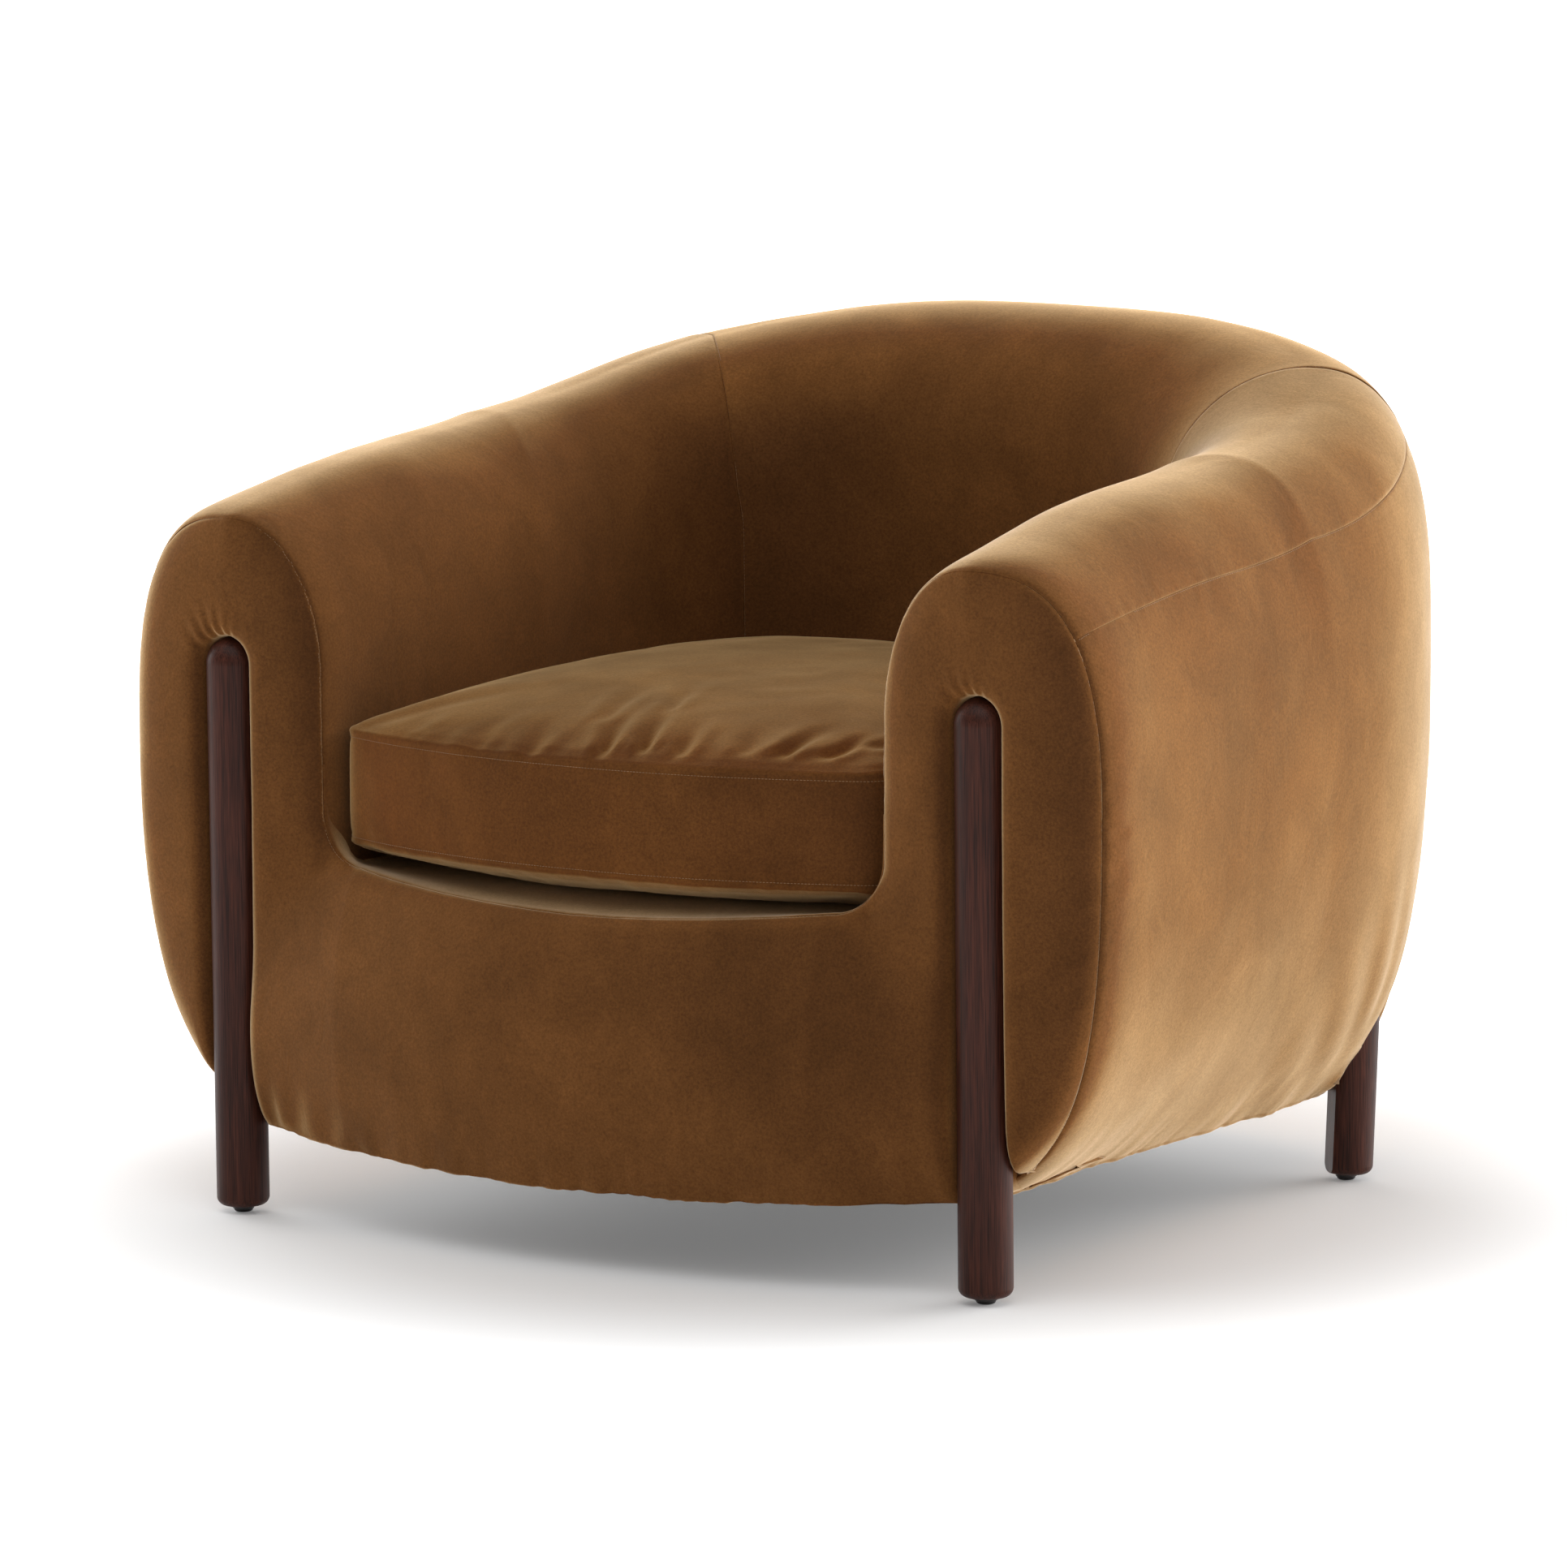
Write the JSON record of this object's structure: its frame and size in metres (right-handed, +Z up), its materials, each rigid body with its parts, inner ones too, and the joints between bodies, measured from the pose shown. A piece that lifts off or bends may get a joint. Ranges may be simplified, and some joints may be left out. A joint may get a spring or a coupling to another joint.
{
  "type": "tub chair",
  "caption": "Upholstered tub chair with a rounded back that runs into the arms, a loose box seat cushion and slim dark wooden post legs let into the corners.",
  "frame": {"origin": "on the floor, under the middle of the chair's overall width and depth", "axes": "+Z up, -Y is the front, +X is to the right seen from the front, the chair is symmetric about the YZ plane"},
  "size_m": [0.991, 0.88, 0.748],
  "materials": {
    "velvet": "short-pile velvet, golden brown",
    "padding": "soft upholstery foam and wadding",
    "deck_cloth": "woven seat deck cloth",
    "dust_cloth": "black non-woven dust cover",
    "post_wood": "dark brown stained open-grain hardwood, satin lacquer",
    "frame_wood": "unfinished hardwood and plywood",
    "panel_board": "thin pressed board",
    "steel": "zinc-plated steel",
    "glide_plastic": "dark moulded plastic"
  },
  "bodies": {
    "frame": {"apron_cover": "velvet", "apron_pad": "padding", "arm_cover_left": "velvet", "arm_cover_right": "velvet", "arm_front_board_left": "frame_wood", "arm_front_board_right": "frame_wood", "arm_front_pad_left": "padding", "arm_front_pad_right": "padding", "arm_pad_left": "padding", "arm_pad_right": "padding", "arm_top_rail_left": "frame_wood", "arm_top_rail_right": "frame_wood", "back_bottom_rail": "frame_wood", "back_pad": "padding", "back_stiles": "frame_wood", "back_top_rail": "frame_wood", "bolt_washers": "steel", "corner_blocks": "frame_wood", "deck_cover": "deck_cloth", "deck_pad": "padding", "dust_cover": "dust_cloth", "fixing_bolts": "steel", "front_cover_left": "velvet", "front_cover_right": "velvet", "front_rail": "frame_wood", "inner_arm_board_left": "panel_board", "inner_arm_board_right": "panel_board", "inside_back_cover": "velvet", "outer_panel_back": "panel_board", "outer_panel_left": "panel_board", "outer_panel_right": "panel_board", "outside_cover": "velvet", "post_front_left": "post_wood", "post_front_right": "post_wood", "post_rear_left": "post_wood", "post_rear_right": "post_wood", "rear_corner_board_left": "frame_wood", "rear_corner_board_right": "frame_wood", "rear_seat_rail": "frame_wood", "seat_webbing_cross": "deck_cloth", "seat_webbing_long": "deck_cloth", "side_rail_left": "frame_wood", "side_rail_right": "frame_wood", "threaded_inserts": "steel"},
    "cushion": {"cushion_cover": "velvet", "cushion_filling": "padding"},
    "glide_front_right_body": {"glide_front_right": "glide_plastic", "glide_stem_front_right": "steel"},
    "glide_front_left_body": {"glide_front_left": "glide_plastic", "glide_stem_front_left": "steel"},
    "glide_rear_right_body": {"glide_rear_right": "glide_plastic", "glide_stem_rear_right": "steel"},
    "glide_rear_left_body": {"glide_rear_left": "glide_plastic", "glide_stem_rear_left": "steel"}
  },
  "joints": [
    {"name": "cushion_lift", "type": "slide", "parent": "frame", "child": "cushion", "axis": [0, 0, 1], "range_m": [0, 0.45]},
    {"name": "glide_front_right_height", "type": "slide", "parent": "frame", "child": "glide_front_right_body", "axis": [0, 0, -1], "range_m": [0, 0.01]},
    {"name": "glide_front_left_height", "type": "slide", "parent": "frame", "child": "glide_front_left_body", "axis": [0, 0, -1], "range_m": [0, 0.01]},
    {"name": "glide_rear_right_height", "type": "slide", "parent": "frame", "child": "glide_rear_right_body", "axis": [0, 0, -1], "range_m": [0, 0.01]},
    {"name": "glide_rear_left_height", "type": "slide", "parent": "frame", "child": "glide_rear_left_body", "axis": [0, 0, -1], "range_m": [0, 0.01]}
  ]
}
